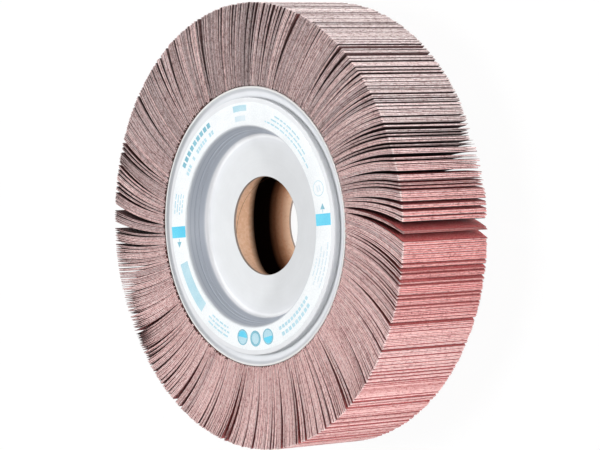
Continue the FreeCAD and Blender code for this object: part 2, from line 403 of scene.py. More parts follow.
def makeClothBack():
    # backing side: sized twill, grey brown
    material, tree, shader = newMaterial("clothBack", 0.85, 0.2)
    threads = threadsAlong(tree, 6.0, 36.0)
    place = objectVector(tree)
    grain = mathNode(tree, "MULTIPLY", grainAt(tree, place, 1100.0, 0.15)["Grain"], 0.4)
    height = mathNode(tree, "MULTIPLY_ADD", threads["Threads"], 0.6, grain)
    twill = rampNode(tree, height, [
        (0.1, (112, 86, 84)), (0.45, (160, 134, 132)), (0.9, (206, 184, 181)),
    ])
    toned = placeGroup(tree, flapToneGroup, Colour=twill, Amount=0.7)
    # painted shade: the backing darkens deeper in the fan and in narrow slits
    colour = mixColours(tree, slitOpenness(tree, place, 0.9, 0.9)[0], (30, 15, 17), toned[0])
    paint(tree, shader, colour, spread(tree, height, 0.1, 0.9, 0.95, 0.75))
    addBump(tree, shader, height, 0.6, 0.2)
    return material


def makeFlangePlastic():
    # satin moulding: fine even grain, a slight flow cloud and faint rubbed rings
    material, tree, shader = newMaterial("flangePlastic", 0.42)
    place = objectVector(tree)
    grain = grainAt(tree, place, 2200.0, 0.25)
    radius = fromAxis(tree, splitVector(tree, place))
    rings = ringNoise(tree, radius, 900)
    flow = mathNode(tree, "MULTIPLY", grain["Cloud"], 0.6)
    shade = mathNode(tree, "MULTIPLY_ADD", rings, 0.4, flow)
    cloud = rampNode(tree, shade, [(0.2, (250, 250, 250)), (0.8, (255, 255, 255))])
    # painted shade on the recess wall, the channel and the lip's inner wall, and a painted highlight at the
    # wall's foot
    toneAndShadeZones = lengthRamp(tree, radius, *flange["toneAndShadeRange"], flange["toneAndShadeZones"])
    # fine lines run round the recess wall
    waves = ringNoise(tree, radius, 2600)
    lines = rampNode(tree, waves, [(0.34, (226, 229, 234)), (0.46, (255, 255, 255))])
    foot, top = flange["wallFoot"], flange["wallTop"]
    onWall = mathNode(
        tree, "MULTIPLY",
        spread(tree, radius, foot[0] * mm, foot[1] * mm),
        spread(tree, radius, top[0] * mm, top[1] * mm, 1.0, 0.0),
    )
    skin = mixColours(tree, onWall, cloud, lines)
    # the cut edge of the hole is darker and browner
    low, high = flange["darkerHoleEdge"]
    withHoleEdge = mixColours(tree, spread(tree, radius, low * mm, high * mm), (146, 132, 124), toneAndShadeZones)
    colour = mixColours(tree, 1.0, withHoleEdge, skin, "MULTIPLY")
    paint(tree, shader, colour, spread(tree, grain["Grain"], 0.0, 1.0, 0.46, 0.54))
    addBump(tree, shader, mathNode(tree, "ADD", grain["Grain"], rings), 0.08, 0.05)
    return material


def makeCorePaper():
    # wound kraft board: fibres, mottle and the line of the spiral lap, with a painted black shadow band half
    # way down and a painted reflection near the rear end
    material, tree, shader = newMaterial("corePaper", 0.75, 0.0)
    place = objectVector(tree)
    grain = grainAt(tree, place, 700.0, 0.9)
    parts = splitVector(tree, place)
    turn = mathNode(tree, "DIVIDE", mathNode(tree, "ARCTAN2", parts[0], parts[1]), 2 * math.pi)
    climb = mathNode(tree, "MULTIPLY", parts[2], tube["lapsPerMetre"])
    # whole laps are added so that the count stays above 0
    laps = mathNode(tree, "ADD", mathNode(tree, "ADD", turn, climb), 10.0 + tube["lapStart"])
    seam = mathNode(tree, "SUBTRACT", 1.0, spread(tree, mathNode(tree, "FRACT", laps), *tube["lapWidth"]))
    pale = rampNode(tree, grain["Grain"], [
        (0.1, (238, 198, 166)), (0.5, (246, 210, 180)), (0.9, (252, 220, 192)),
    ])
    # painted shade: the bands follow a leaning plane, as a shadow's edge does, from a painted reflection
    # near the rear end to a painted black shadow half way down
    shadowLevel = mathNode(tree, "MULTIPLY_ADD", parts[1], tube["shadowSlant"], parts[2])
    paintedShadeBands = lengthRamp(tree, shadowLevel, *tube["paintedShadeRange"], tube["paintedShadeBands"])
    shadedBoard = mixColours(tree, 1.0, pale, paintedShadeBands, "MULTIPLY")
    low, high = tube["lapShown"]
    shown = mathNode(tree, "MULTIPLY", seam, spread(tree, parts[2], low * mm, high * mm, 0.0, 0.75))
    colour = mixColours(tree, shown, shadedBoard, (96, 62, 42))
    paint(tree, shader, colour, spread(tree, grain["Cloud"], 0.0, 1.0, 0.4, 0.6))
    addBump(tree, shader, mathNode(tree, "SUBTRACT", grain["Grain"], seam), 0.4, 0.2)
    return material


# Mesh helpers

sharpAngle = 32
cornerSteps = 5


def addObject(name, data):
    made = bpy.data.objects.new(name, data)
    bpy.context.scene.collection.objects.link(made)
    return made


def finishMesh(
    name, vertices, faces, materials, faceMaterials=None, faceTones=None, clothRuns=None, edgeShades=None,
):
    mesh = bpy.data.meshes.new(name)
    mesh.from_pydata(vertices, [], faces)
    for material in materials:
        mesh.materials.append(material)
    if faceMaterials:
        mesh.polygons.foreach_set("material_index", faceMaterials)
    if faceTones:
        mesh.attributes.new("flapTone", "FLOAT", "FACE").data.foreach_set("value", faceTones)
    if edgeShades:
        mesh.attributes.new("edgeOpen", "FLOAT", "POINT").data.foreach_set("value", edgeShades)
    if clothRuns:
        layer = mesh.uv_layers.new(name="clothRun")
        layer.uv.foreach_set("vector", [value for spot in clothRuns for value in spot])
    editable = bmesh.new()
    editable.from_mesh(mesh)
    bmesh.ops.recalc_face_normals(editable, faces=editable.faces)
    editable.to_mesh(mesh)
    editable.free()
    mesh.shade_smooth()
    mesh.set_sharp_from_angle(angle=math.radians(sharpAngle))
    return addObject(name, mesh)


def roundedOutline(corners):
    # closed outline whose corners (radius, height, rounding) are eased over a few points
    outline = []
    for index, (across, along, rounding) in enumerate(corners):
        corner = Vector((across, along))
        if rounding == 0:
            outline.append(corner)
            continue
        before = Vector(corners[index - 1][:2])
        after = Vector(corners[(index + 1) % len(corners)][:2])
        start = corner + (before - corner).normalized() * rounding
        end = corner + (after - corner).normalized() * rounding
        for step in range(cornerSteps + 1):
            share = step / cornerSteps
            outline.append((1 - share) ** 2 * start + 2 * share * (1 - share) * corner + share ** 2 * end)
    return outline


def latheMesh(outline, segments):
    vertices, faces = [], []
    count = len(outline)
    for segment in range(segments):
        for point in outline:
            vertices.append(facePoint(point.x, 360 * segment / segments, point.y))
    for segment in range(segments):
        here, there = segment * count, (segment + 1) % segments * count
        for index in range(count):
            following = (index + 1) % count
            faces.append((here + index, here + following, there + following, there + index))
    return vertices, faces


# Flaps: the same openings as the part, going round, each with the angle where it starts at the core,
# the angle where it ends at the rim, and its width at the rim

fanOpenings = (
    (8.9, 3.9, 0.8), (16.4, 11.4, 1.2), (21.1, 15.7, 1.2), (28.2, 22.9, 1.1), (37.0, 31.4, 0.5),
    (44.0, 39.3, 0.5), (50.0, 46.3, 1.3), (52.7, 48.9, 1.2), (61.8, 57.9, 0.4), (73.2, 67.1, 1.8),
    (77.6, 72.6, 0.5), (81.0, 76.8, 1.0), (84.6, 80.7, 0.8), (87.2, 83.4, 1.2), (97.4, 93.2, 0.6),
    (103.8, 99.0, 0.5), (112.0, 107.3, 1.6), (122.8, 119.4, 0.6), (128.2, 122.9, 1.1), (132.0, 128.9, 0.7),
    (146.0, 140.7, 0.9), (159.6, 154.8, 1.5), (162.0, 157.5, 1.3), (167.5, 161.1, 1.0), (173.6, 168.6, 1.2),
    (177.5, 173.0, 2.6), (181.2, 177.8, 2.8), (185.7, 182.5, 1.0), (192.2, 189.3, 0.7), (211.4, 207.9, 1.4),
    (218.6, 213.8, 0.8), (230.0, 225.4, 0.7), (236.8, 231.8, 1.6), (239.6, 234.6, 0.9), (251.0, 245.4, 0.8),
    (260.6, 253.6, 1.8), (262.4, 255.4, 1.3), (270.6, 265.7, 0.9), (277.0, 272.9, 0.6), (281.6, 277.5, 1.0),
    (289.4, 284.8, 1.5), (291.6, 287.5, 0.9), (303.4, 300.6, 0.6), (309.6, 305.7, 1.3), (311.6, 308.4, 0.9),
    (322.6, 315.4, 0.6), (332.4, 325.7, 0.6), (340.2, 333.2, 1.1), (353.0, 344.6, 1.0), (356.6, 347.4, 1.1),
    (363.6, 355.4, 3.2), (365.6, 358.0, 3.0),
)
# smaller openings that the photo shows between the ones above: width at the rim, and the angles
smallOpenings = {
    0.25: (211.2, 323.6, 331),
    0.3: (35.2, 40.7, 206, 316.7),
    0.35: (26.3, 27.8, 50.2, 148.8, 237.2, 318, 320, 329.2),
    0.4: (30.1, 37.6, 41.8, 75.3, 94.6, 131.6, 137.6, 198.6, 209.2, 223.6, 251.4, 270, 279),
    0.45: (34, 70.3, 164.2, 184.2, 186.5, 192.2, 194),
    0.5: (8.2, 111.9, 175, 185.3, 196.6, 202.4, 228.2, 258.2, 261.4, 292.2, 302.2),
    0.55: (32.9, 90.3, 92.2, 144.8, 187.7, 218.4),
    0.6: (21.9, 24.6, 77.8, 84.9, 108.5, 162.4, 190.8, 242.8, 274, 307, 338, 339.4, 340.9, 348.4),
    0.65: (43.4, 215.2),
    0.7: (86.5, 126.4, 156.2, 166.4),
    0.75: (98.2, 220.4, 295.6),
    0.8: (6.7, 14.4, 74.3, 167.6, 216.8, 297.8, 343.4, 346.2, 359.3),
    0.9: (9.4, 18.9, 179.6, 283.4, 361.4),
    1: (17.8, 20.6),
}
# stretches of the rim where the tips are frayed: middle angle, half width, and strength at the rear
# and label side
frayedStretches = (
    (205.0, 14.0, 0.2, 1.0), (178.0, 14.0, 0.1, 0.45), (158.0, 10.0, 0.1, 0.3), (17.0, 13.0, 0.4, 0.0),
    (358.0, 8.0, 0.15, 0.0),
)
radialShares = (0.0, 0.022, 0.14, 0.27, 0.4, 0.52, 0.64, 0.76, 0.88, 1.0)
widthShares = (0.0, 0.25, 0.5, 0.75, 1.0)
lastAlong, lastAcross = len(radialShares) - 1, len(widthShares) - 1
# the points along a flap's edge: out along the rear side, across the tip and back along the label side
edgeLoop = [(along, 0) for along in range(lastAlong + 1)]
edgeLoop += [(lastAlong, across) for across in range(1, lastAcross + 1)]
edgeLoop += [(along, lastAcross) for along in range(lastAlong - 1, -1, -1)]
# the finishes of the fan in the order of its material slots
backEdgeSlot, gritEdgeSlot, gritSlot, backSlot, resinAndShadeSlot = range(5)
# a pair's angle at the core, its angle at the rim, and half its angle there
flapPair = namedtuple("flapPair", "root rim half")


def flapPairs():
    pitch = 360 / fan["pairCount"]
    slack = 1 - fan["fill"]
    lowWave, highWave = fan["gapWaves"]
    pairs = []
    for index, (root, rim, opening) in enumerate(fanOpenings):
        lap = 360 if index + 1 == len(fanOpenings) else 0
        nextRoot, nextRim, nextOpening = fanOpenings[(index + 1) % len(fanOpenings)]
        count = max(1, round((nextRoot + lap - root) / pitch))
        start = rim + math.degrees(opening / 2 / fan["rimRadius"])
        room = (nextRim + lap - math.degrees(nextOpening / 2 / fan["rimRadius"]) - start) / count
        trim = slack * room / 2
        for step in range(count):
            lowShift = fan["unevenness"] * math.sin(lowWave * len(pairs))
            highShift = fan["unevenness"] * math.sin(highWave * len(pairs))
            low = start + room * step + trim * (1 + lowShift)
            high = start + room * (step + 1) - trim * (1 - highShift)
            middle = root + (nextRoot + lap - root) * (step + 0.5) / count
            pairs.append(flapPair(middle, (low + high) / 2, (high - low) / 2))
    return pairs


def pairAt(pairs, index):
    # the pair with that number, going on round past the last and back past the first
    turns, number = divmod(index, len(pairs))
    pair = pairs[number]
    return flapPair(pair.root + 360 * turns, pair.rim + 360 * turns, pair.half)


def slitWidth(before, after):
    return after.rim - after.half - before.rim - before.half


def slitMiddle(before, after, share):
    straight = sum(pair.root + (pair.rim - pair.root) * share for pair in (before, after)) / 2
    return straight + 4 * fan["bow"] * share * (1 - share)


def slitOpening(before, after, share):
    if slitWidth(before, after) > math.degrees(fan["openSlit"] / fan["rimRadius"]):
        return share ** fan["openCurve"]
    notch = 1 - fan["pressedSlit"] / (fan["rimRadius"] - fan["rootRadius"])
    return max(0.0, (share - notch) / (1 - notch))


def slitGaps(pairs):
    # how far each slit stands open, most of them little; small openings are wider
    least, most = fan["slitGap"]
    gaps = [least + (most - least) * rng.random() ** 4 for _ in pairs]
    rims = [(pairs[index - 1].rim + pairs[index].rim) / 2 for index in range(1, len(pairs))]
    for width, places in smallOpenings.items():
        for rim in places:
            number = min(range(len(rims)), key=lambda index: abs(rims[index] - rim))
            gaps[number + 1] = width
    return gaps


def slitSway(number, share, widthShare):
    # a slit wanders a little along the width, and both of its sides go with it
    slitStep, widthStep = fan["swaySteps"]
    wander = noise.noise(Vector((number * slitStep, widthShare * widthStep, 4.7)))
    return math.degrees(fan["sway"] / fan["rimRadius"]) * share * share * wander


def frayAt(degrees):
    # how frayed the tips are there, at their rear corner and at their label corner
    rear, front = 0.0, 0.0
    for middle, reach, rearStrength, labelStrength in frayedStretches:
        here = max(0.0, 1 - (abs((degrees - middle + 180) % 360 - 180) / reach) ** 2)
        rear, front = max(rear, here * rearStrength), max(front, here * labelStrength)
    return rear, front


def slitShade(gap):
    # painted shade beside a slit: how dark it is beside a closed slit, 0 beside an open one and -1 beside a
    # wide one
    closed, opened, wide = fan["darkSlit"]
    if gap < opened:
        return fan["closedShade"] * (1 - max(0.0, gap - closed) / (opened - closed))
    return -min(1.0, (gap - opened) / (wide - opened))


def drawCloth(rim, bunchTone):
    # what is a cloth's own, drawn in this order
    rearFray, labelFray = frayAt(rim)
    tipRadius = fan["rimRadius"] - fan["ridge"] - fan["tipTrim"] * rng.random() ** 1.5
    tipRadius -= fan["frayTrim"] * labelFray * rng.random() ** 2
    return {
        "tipRadius": tipRadius,
        "rear": fan["rearSide"] + fan["sideTrim"] * rng.random(),
        "torn": fan["tornCorner"] * rearFray * rng.random(),
        "front": fan["labelSide"] - fan["sideTrim"] * rng.random(),
        "rootCut": fan["rootCut"] * rng.random() ** 1.5,
        "tone": min(1.0, max(0.0, bunchTone + rng.uniform(-fan["toneOwn"], fan["toneOwn"]))),
        "rearFray": rearFray,
        "labelFray": labelFray,
    }


def addSide(fanMesh, pairs, gaps, index, half, side, parting, cloth):
    # one side of a cloth: a grid of points from the core to the tip and from rear to label side
    before, pair, after = (pairAt(pairs, index + step) for step in (-1, 0, 1))
    following = (index + 1) % len(pairs)
    rear, front = cloth["rear"], cloth["front"]
    for share in radialShares:
        radius = fan["rootRadius"] + (cloth["tipRadius"] - fan["rootRadius"]) * share
        pastFray = max(0.0, share - fan["frayFrom"]) / (1 - fan["frayFrom"])
        split = math.degrees(fan["hairline"] / 2 / radius)
        lowOpening = slitOpening(before, pair, share)
        highOpening = slitOpening(pair, after, share)
        low = slitMiddle(before, pair, share)
        low += (pair.rim - pair.half - slitMiddle(before, pair, 1)) * lowOpening
        high = slitMiddle(pair, after, share)
        high += (pair.rim + pair.half - slitMiddle(pair, after, 1)) * highOpening
        reached = fan["rootGap"] + (1 - fan["rootGap"]) * share
        lowGap, highGap = (
            min(math.degrees(gap * reached / 2 / radius), fan["mostGap"] * (high - low) / 2)
            for gap in (gaps[index], gaps[following]))
        lowOpen = slitWidth(before, pair) * lowOpening + 2 * lowGap
        highOpen = slitWidth(pair, after) * highOpening + 2 * highGap
        standOff = ((lowOpen, 2 * split), (2 * split, highOpen))[half][side]
        fanMesh["edgeShades"] += [slitShade(math.radians(standOff) * radius)] * len(widthShares)
        cut = cloth["rootCut"] if share == 0 else 0
        foot = rear + cloth["torn"] * pastFray ** 2
        for widthShare in widthShares:
            lowEdge = low + slitSway(index, share, widthShare)
            highEdge = high + slitSway(following, share, widthShare)
            middle = lowEdge + (highEdge - lowEdge) * parting
            fray = cloth["rearFray"] + (cloth["labelFray"] - cloth["rearFray"]) * widthShare
            apart = split + math.degrees(fan["fraySpread"] * pastFray / 2 * fray / radius)
            turn = ((lowEdge + lowGap, middle - apart), (middle + apart, highEdge - highGap))[half][side]
            height = foot + cut + (front - foot - 2 * cut) * widthShare
            fanMesh["vertices"].append(facePoint(radius, turn, height))


def addCloth(fanMesh, pairs, gaps, index, half, parting, bunchTone):
    cloth = drawCloth(pairs[index].rim, bunchTone)
    vertices = fanMesh["vertices"]
    base = len(vertices)
    for side in (0, 1):
        addSide(fanMesh, pairs, gaps, index, half, side, parting, cloth)

    def spot(side, along, across):
        return base + (side * len(radialShares) + along) * len(widthShares) + across

    def addFace(material, points, run):
        fanMesh["faces"].append(points)
        fanMesh["faceMaterials"].append(material)
        fanMesh["faceTones"].append(cloth["tone"])
        fanMesh["clothRuns"].extend(run)

    # a ridge half way through the cloth beside each point of the loop
    ridgeBase = len(vertices)
    for along, across in edgeLoop:
        middle = (vertices[spot(0, along, across)] + vertices[spot(1, along, across)]) / 2
        if across == 0:
            middle.z -= fan["ridge"] * mm
        elif across == lastAcross:
            middle.z += fan["ridge"] * mm
        if along == lastAlong:
            middle += Vector((middle.x, middle.y, 0)).normalized() * fan["ridge"] * mm
        vertices.append(middle)
        fanMesh["edgeShades"].append(1.0)

    # the two sides, with their weave in centimetres
    strip = (index * 2 + half) * fan["stripStep"]
    length = (fan["rimRadius"] - fan["rootRadius"]) / 10
    width = (cloth["front"] - cloth["rear"]) / 10
    for side, material in ((0, backSlot), (1, gritSlot)):
        for along in range(lastAlong):
            for across in range(lastAcross):
                places = ((along, across), (along + 1, across), (along + 1, across + 1), (along, across + 1))
                points = tuple(spot(side, *place) for place in places)
                run = [(radialShares[a] * length, strip + widthShares[b] * width) for a, b in places]
                addFace(material, points, run)

    # the cut edges: a bevel from each side to the ridge
    travel = 0.0
    shadowFrom, shadowTo = fan["shadowStretch"]
    # painted shadow: on one stretch, deeply cut root corners get the dark resin finish
    rootShadowed = cloth["rootCut"] > fan["shadowedCut"] and shadowFrom < pairs[index].root < shadowTo
    for number, (first, second) in enumerate(zip(edgeLoop, edgeLoop[1:])):
        step = (vertices[spot(0, *second)] - vertices[spot(0, *first)]).length * 100
        atRoot = rootShadowed and first[0] + second[0] == 1
        for side, material in ((0, backEdgeSlot), (1, gritEdgeSlot)):
            outer, inner = strip + side * fan["edgeWidth"], strip + fan["edgeWidth"] / 2
            points = (spot(side, *first), spot(side, *second), ridgeBase + number + 1, ridgeBase + number)
            run = [(travel, outer), (travel + step, outer), (travel + step, inner), (travel, inner)]
            addFace(resinAndShadeSlot if atRoot else material, points, run)
        travel += step

    # the root, closed off
    for across in range(lastAcross):
        points = (spot(0, 0, across), spot(0, 0, across + 1), spot(1, 0, across + 1), spot(1, 0, across))
        addFace(resinAndShadeSlot, points, [(0.0, strip)] * 4)
    for ridgePoint, across in ((ridgeBase, 0), (ridgeBase + len(edgeLoop) - 1, lastAcross)):
        addFace(resinAndShadeSlot, (spot(0, 0, across), ridgePoint, spot(1, 0, across)), [(0.0, strip)] * 3)


def buildFlaps():
    pairs = flapPairs()
    gaps = slitGaps(pairs)
    fanMesh = {part: [] for part in (
        "vertices", "faces", "faceMaterials", "faceTones", "clothRuns", "edgeShades")}
    bunchSpread, bunchStep = fan["toneBunch"]
    for index, pair in enumerate(pairs):
        parting = rng.uniform(*fan["parting"])
        bunch = noise.noise(Vector((index * bunchStep, 2.3, 0.0)))
        bunchTone = fan["toneMiddle"] + bunchSpread * bunch
        # painted shade: the flaps are toned greyer and darker towards the top
        bunchTone -= fan["shadeLean"] * math.sin(math.radians(pair.rim))
        for half in (0, 1):
            addCloth(fanMesh, pairs, gaps, index, half, parting, bunchTone)
    coreVertices, coreFaces = latheMesh([Vector(place) for place in coreOutline], fan["coreSegments"])
    shift = len(fanMesh["vertices"])
    fanMesh["vertices"] += coreVertices
    fanMesh["edgeShades"] += [1.0] * len(coreVertices)
    fanMesh["faces"] += [tuple(shift + point for point in points) for points in coreFaces]
    fanMesh["faceMaterials"] += [resinAndShadeSlot] * len(coreFaces)
    fanMesh["faceTones"] += [0.5] * len(coreFaces)
    fanMesh["clothRuns"] += [(0.0, 0.0)] * 4 * len(coreFaces)
    return 2 * len(pairs), fanMesh


# cast core behind the flange lips, as radius and height
coreOutline = (
    (24.7, 10.3), (46.9, 10.3), (46.9, 4.5), (62.9, 4.5), (62.9, 2.6), (63.4, 2.6),
    (63.4, 50.0), (62.9, 50.0), (62.9, 48.1), (46.9, 48.1), (46.9, 42.3), (24.7, 42.3),
)
flapTotal, flapMesh = buildFlaps()
backEdge = makeCutEdge("cutEdgeBack", [
    (0.05, (92, 70, 69)), (0.28, (168, 143, 141)), (0.5, (212, 189, 187)),
    (0.75, (232, 214, 212)), (0.95, (244, 236, 235)),
], ((243, 252, 252), (247, 245, 245), (245, 222, 221)), (34, 17, 18))
gritEdge = makeCutEdge("cutEdgeGrit", [
    (0.05, (136, 84, 85)), (0.28, (216, 166, 164)), (0.5, (248, 206, 203)),
    (0.75, (252, 223, 220)), (0.95, (254, 237, 235)),
], ((225, 238, 238), (240, 234, 234), (243, 191, 190)), (92, 26, 30))
# cast core, seen only down the slits; its dark finish is also painted shadow on some cut root corners
coreResinAndShade = [(0.1, (58, 26, 24)), (0.9, (104, 58, 52))]
flapFinishes = [
    backEdge, gritEdge, makeGritFace(), makeClothBack(),
    grainedFinish("coreResinAndShade", 0.55, 500.0, 0.6, coreResinAndShade, (0.4, 0.7), (0.5, 0.4)),
]
flapFan = finishMesh("flapFan", materials=flapFinishes, **flapMesh)
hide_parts("flap_ring")
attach(flapFan, "root")
print(f"flap fan: {flapTotal} flaps, {len(flapFan.data.polygons)} faces")


# Flanges: one moulding, turned over on the rear side

flange = {
    "labelLevel": 52.6,
    "segments": 240,
    "toneAndShadeRange": (35.0, 65.0),
    # colours outwards: the moulding's own grey, with painted shade on the recess wall, the channel and the
    # lip's inner wall, and a painted highlight at the wall's foot
    "toneAndShadeZones": (
        (35.0, (221, 223, 225)), (39.2, (223, 225, 228)), (40.1, (246, 247, 249)), (41.09, (246, 247, 250)),
        (41.51, (180, 186, 197)), (44.3, (184, 190, 200)), (44.9, (214, 218, 223)), (45.8, (228, 230, 233)),
        (57.26, (228, 230, 233)), (57.56, (196, 199, 203)), (58.7, (222, 225, 229)),
        (60.05, (224, 226, 230)), (60.8, (206, 209, 213)), (61.55, (210, 212, 215)), (62.0, (230, 229, 227)),
    ),
    "wallFoot": (41.2, 41.6),  # where the fine lines of the recess wall begin
    "wallTop": (44.7, 45.0),  # and where they end
    "darkerHoleEdge": (22.1, 22.3),
}
# radius, height and rounding of each corner, from the bore outwards and back underneath
flangeCorners = (
    (22.0, 42.3, 0.05), (22.0, 43.3, 0.3), (40.7, 43.3, 1.2), (42.25, 47.2, 0.12), (42.5, 47.3, 0.12),
    (42.95, 48.7, 0.12), (43.2, 48.8, 0.12), (44.9, 52.6, 0.45), (57.4, 52.6, 0.35), (57.6, 49.9, 0.5),
    (60.3, 49.9, 0.7), (61.6, 50.9, 0.3), (62.6, 50.9, 0.35), (62.6, 48.1, 0.2), (46.7, 48.1, 0.2),
    (46.7, 42.3, 0.2),
)
flangePlastic = makeFlangePlastic()
flangeOutline = roundedOutline(flangeCorners)
rearOutline = [Vector((point.x, flange["labelLevel"] - point.y)) for point in flangeOutline]
mouldings = (("frontFlange", "front_flange", flangeOutline), ("rearFlange", "rear_flange", rearOutline))
for name, node, outline in mouldings:
    moulding = finishMesh(name, *latheMesh(outline, flange["segments"]), [flangePlastic])
    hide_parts(node)
    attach(moulding, "root")
print("flanges made")


# Paper tube in the bore

tube = {
    "boreRadius": 22.0,
    "outerRadius": 24.5,
    "rearEnd": 10.3,
    "labelEnd": 42.3,
    "rounding": 0.2,
    "segments": 180,
    "lapsPerMetre": 34.5,  # how fast the spiral lap climbs
    "lapStart": 0.566,
    "lapWidth": (0.004, 0.012),  # shares of a lap between which its line fades
    "lapShown": (24.0, 28.0),  # heights between which it comes out
    "shadowSlant": 0.44,  # how far the painted shade bands lean towards the left, as a shadow's edge does
    "paintedShadeRange": (10.0, 50.0),
    # colours upwards: a painted reflection towards the rear end, painted shade deepening to a painted black
    # shadow half way down, and the plain board towards the label end
    "paintedShadeBands": (
        (16.4, (236, 244, 250)), (20.8, (208, 202, 200)), (24.8, (156, 138, 128)), (28.8, (84, 66, 56)),
        (32.4, (6, 4, 4)), (41.2, (6, 4, 4)), (44.8, (237, 231, 229)),
    ),
}
tubeOutline = roundedOutline([
    (tube[radius], tube[end], tube["rounding"]) for radius, end in (
        ("boreRadius", "rearEnd"), ("boreRadius", "labelEnd"),
        ("outerRadius", "labelEnd"), ("outerRadius", "rearEnd"))])
coreTube = finishMesh("coreTube", *latheMesh(tubeOutline, tube["segments"]), [makeCorePaper()])
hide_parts("core_tube")
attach(coreTube, "root")
print("paper tube made")


# Label ring and its print

label = {
    "innerRadius": 45.4,
    "outerRadius": 55.3,
    "underside": 52.6,
    "face": 52.75,
    "rounding": 0.05,
    "segments": 240,
    "inkThickness": 0.02,
    "arcStep": 1.5,  # about how far each straight part of a bent bar reaches
    "discSteps": 40,
    "blockShare": 0.72,  # share of its place that a block fills
    "dashLengths": (1.2, 4.6),
    "dashGap": 0.75,
    "dashEnd": 0.8,  # least room that another dash is fitted into
}
# coated white paper with a faint fibre cloud
labelWhite = [(0.1, (234, 238, 241)), (0.5, (241, 245, 247)), (0.9, (247, 250, 251))]
labelPaper = grainedFinish("labelPaper", 0.5, 1400.0, 0.6, labelWhite, (0.45, 0.58), (0.1, 0.04))
labelOutline = roundedOutline((
    (label["innerRadius"], label["underside"], 0.0), (label["outerRadius"], label["underside"], 0.0),
    (label["outerRadius"], label["face"], label["rounding"]),
    (label["innerRadius"], label["face"], label["rounding"]),
))
labelRing = finishMesh("labelRing", *latheMesh(labelOutline, label["segments"]), [labelPaper])
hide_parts("label_ring")
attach(labelRing, "root")

plateVertices, plateFaces, plateInks = [], [], []


def addPlate(outline, ink):
    # thin plate of ink with its own edge
    base, count = len(plateVertices), len(outline)
    for height in (label["face"] - label["inkThickness"], label["face"] + label["inkThickness"]):
        for radius, turn in outline:
            plateVertices.append(facePoint(radius, turn, height))
    plateFaces.append(tuple(range(base + count - 1, base - 1, -1)))
    plateFaces.append(tuple(range(base + count, base + 2 * count)))
    for index in range(count):
        following = (index + 1) % count
        plateFaces.append((base + index, base + following, base + count + following, base + count + index))
    plateInks.extend([ink] * (count + 2))


def arcBar(inner, outer, start, end, ink):
    steps = max(1, round(abs(end - start) / label["arcStep"]))
    turns = [start + (end - start) * step / steps for step in range(steps + 1)]
    for first, second in zip(turns, turns[1:]):
        addPlate([(inner, first), (outer, first), (outer, second), (inner, second)], ink)


def plateAbout(radius, turn, points, ink):
    # points in millimetres, outward and going round, about a place on the label
    places = [
        (math.hypot(radius + out, along), turn + math.degrees(math.atan2(along, radius + out)))
        for out, along in points
    ]
    addPlate(places, ink)


def box(radius, turn, outs, alongs, ink):
    (inner, outer), (first, last) = outs, alongs
    plateAbout(radius, turn, [(inner, first), (outer, first), (outer, last), (inner, last)], ink)


def circlePoints(size, steps, share=1.0):
    # points in equal steps along that share of a circle
    turns = [2 * math.pi * share * step / steps for step in range(steps + (share < 1))]
    return [(size * math.cos(turn), size * math.sin(turn)) for turn in turns]


def hoop(radius, turn, size, width, ink):
    steps = label["discSteps"]
    inner, outer = circlePoints(size, steps), circlePoints(size + width, steps)
    for step in range(steps):
        following = (step + 1) % steps
        plateAbout(radius, turn, [inner[step], outer[step], outer[following], inner[following]], ink)


def halfDisc(radius, turn, size, side, ink):
    # half of a disc: side 1 is its outer half, side -1 its inner half
    points = [(side * out, along) for along, out in circlePoints(size, label["discSteps"] // 2, 0.5)]
    plateAbout(radius, turn, points, ink)


def blockRow(radius, width, start, end, blocks, ink):
    # a row of equal blocks with narrow gaps
    pitch = (end - start) / blocks
    for number in range(blocks):
        first, last = start + pitch * number, start + pitch * (number + label["blockShare"])
        arcBar(radius - width / 2, radius + width / 2, first, last, ink)


def dashRow(radius, width, start, end, ink):
    # a row of dashes of uneven length
    place = start
    while place < end - label["dashEnd"]:
        length = min(rng.uniform(*label["dashLengths"]), end - place)
        arcBar(radius - width / 2, radius + width / 2, place, place + length, ink)
        place += length + label["dashGap"]


# plain marks on the label, in bright ink 0, dull ink 1, pale ink 2 and faint ink 3
for turn in (1.6, 181.2):
    box(50.35, turn, (-4.85, 4.85), (-2.6, 2.6), 0)
    box(50.35, turn, (-0.3, 0.3), (3.0, 4.4), 2)
    plateAbout(50.35, turn, [(-1.5, 4.5), (1.5, 4.5), (0.2, 7.1)], 1)
for turn, side in ((260.3, -1), (280.6, 1)):
    hoop(50.1, turn, 3.0, 0.6, 1)
    halfDisc(50.1, turn, 2.95, side, 0)
    halfDisc(50.1, turn, 2.95, -side, 2)
hoop(50.1, 270.5, 2.4, 1.2, 1)
plateAbout(50.1, 270.5, circlePoints(2.35, label["discSteps"]), 2)
hoop(50.4, 17.4, 3.2, 0.25, 2)
for inner in (-1.1, 0.4):
    box(50.4, 17.4, (inner, inner + 0.8), (-1.4, 1.4), 3)
# rows of blocks: radius, width, start, end, number of blocks and ink
for row in (
    (52.7, 2.3, 117.5, 148.5, 9, 1), (48.7, 1.9, 117.0, 121.6, 2, 2), (48.7, 1.9, 124.2, 135.4, 5, 2),
    (48.7, 1.9, 138.2, 140.4, 1, 2), (48.7, 1.9, 143.4, 150.2, 3, 2),
    (51.9, 1.7, 291.5, 318.0, 9, 2), (48.9, 1.5, 290.5, 320.0, 11, 2),
):
    blockRow(*row)
# plain bars: inner and outer radius, start, end and ink
for row in ((51.6, 54.3, 88.0, 98.0, 2), (47.2, 49.6, 89.0, 97.5, 3), (47.4, 52.6, 197.6, 225.6, 2)):
    arcBar(*row)
